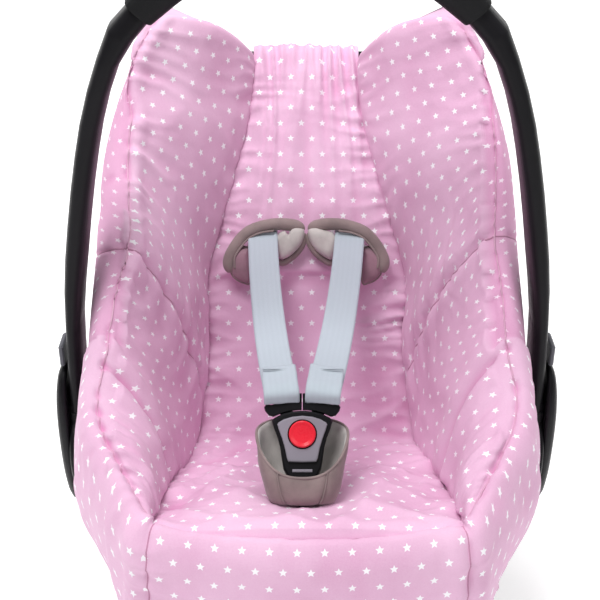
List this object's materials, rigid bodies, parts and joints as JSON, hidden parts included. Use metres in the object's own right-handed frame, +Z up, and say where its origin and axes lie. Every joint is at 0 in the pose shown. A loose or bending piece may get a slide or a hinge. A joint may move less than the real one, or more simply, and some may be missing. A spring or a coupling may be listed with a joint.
{
  "type": "infant car seat",
  "caption": "Padded bucket infant car seat on rocker rails, with a swinging carry handle, bolstered fabric cover and a buckled shoulder harness.",
  "frame": {"origin": "middle of the bounding box, on the floor", "axes": "+Z up, +X across the seat towards its right-hand hub seen from the foot end, -Y towards the foot end and +Y towards the head end"},
  "size_m": [0.4352, 0.4865, 0.6249],
  "materials": {
    "cover_fabric": "soft printed fabric",
    "black_plastic": "satin",
    "shell_plastic": "fine grain",
    "grip_rubber": "matt",
    "grey_plastic": "satin silver grey",
    "red_plastic": "smooth",
    "webbing": "woven webbing",
    "taupe_pad": "padded, smooth",
    "steel": "bright"
  },
  "bodies": {
    "seat": {"adjuster_housing": "black_plastic", "adjuster_strap": "webbing", "beam_front": "shell_plastic", "beam_rear": "shell_plastic", "belt_guide_left": "black_plastic", "belt_guide_right": "black_plastic", "buckle_housing": "black_plastic", "buckle_plate": "grey_plastic", "buckle_spring": "steel", "cover_back": "cover_fabric", "cover_front_skirt": "cover_fabric", "cover_head_hem": "cover_fabric", "cover_seat": "cover_fabric", "cover_side_left": "cover_fabric", "cover_side_right": "cover_fabric", "cover_skirt_left": "cover_fabric", "cover_skirt_right": "cover_fabric", "cover_wing_left": "cover_fabric", "cover_wing_right": "cover_fabric", "crotch_pad": "taupe_pad", "crotch_strap": "webbing", "foot_front_left": "grip_rubber", "foot_front_right": "grip_rubber", "foot_rear_left": "grip_rubber", "foot_rear_right": "grip_rubber", "hub_axle_left": "black_plastic", "hub_axle_right": "black_plastic", "rail_left": "shell_plastic", "rail_right": "shell_plastic", "ratchet_left": "steel", "ratchet_right": "steel", "shell": "shell_plastic", "shoulder_pad_left": "taupe_pad", "shoulder_pad_right": "taupe_pad", "shoulder_strap_left": "webbing", "shoulder_strap_right": "webbing"},
    "handle": {"handle": "black_plastic", "handle_grip": "grip_rubber", "hub_cap_left": "black_plastic", "hub_cap_right": "black_plastic", "hub_screw_left": "steel", "hub_screw_right": "steel"},
    "release_left": {"handle_release_left": "grey_plastic"},
    "release_right": {"handle_release_right": "grey_plastic"},
    "button": {"buckle_button": "red_plastic"},
    "tongue_left": {"tongue_left": "black_plastic"},
    "tongue_right": {"tongue_right": "black_plastic"},
    "adjuster_lever": {"adjuster_lever": "grey_plastic"}
  },
  "joints": [
    {"name": "handle_swing", "type": "hinge", "parent": "seat", "child": "handle", "pos_m": [0, -0.01855, 0.155], "axis": [1, 0, 0], "range_deg": [-10, 88]},
    {"name": "release_left_slide", "type": "slide", "parent": "handle", "child": "release_left", "axis": [0, 0, 1], "range_m": [0, 0.006], "stiffness_N_per_m": 400, "springref_m": -0.004},
    {"name": "release_right_slide", "type": "slide", "parent": "handle", "child": "release_right", "axis": [0, 0, 1], "range_m": [0, 0.006], "stiffness_N_per_m": 400, "springref_m": -0.004},
    {"name": "buckle_button_press", "type": "slide", "parent": "seat", "child": "button", "axis": [0, 0.788, -0.6157], "range_m": [0, 0.003], "stiffness_N_per_m": 900, "springref_m": -0.003, "deforming": ["buckle_spring"]},
    {"name": "tongue_left_pull", "type": "slide", "parent": "seat", "child": "tongue_left", "axis": [0, 0.6157, 0.788], "range_m": [0, 0.025], "deforming": ["shoulder_strap_left"]},
    {"name": "tongue_right_pull", "type": "slide", "parent": "seat", "child": "tongue_right", "axis": [0, 0.6157, 0.788], "range_m": [0, 0.025], "deforming": ["shoulder_strap_right"]},
    {"name": "adjuster_lift", "type": "hinge", "parent": "seat", "child": "adjuster_lever", "pos_m": [0, -0.23805, 0.1385], "axis": [-1, 0, 0], "range_deg": [0, 35], "stiffness_Nm_per_rad": 0.05, "springref_deg": -17.19}
  ]
}
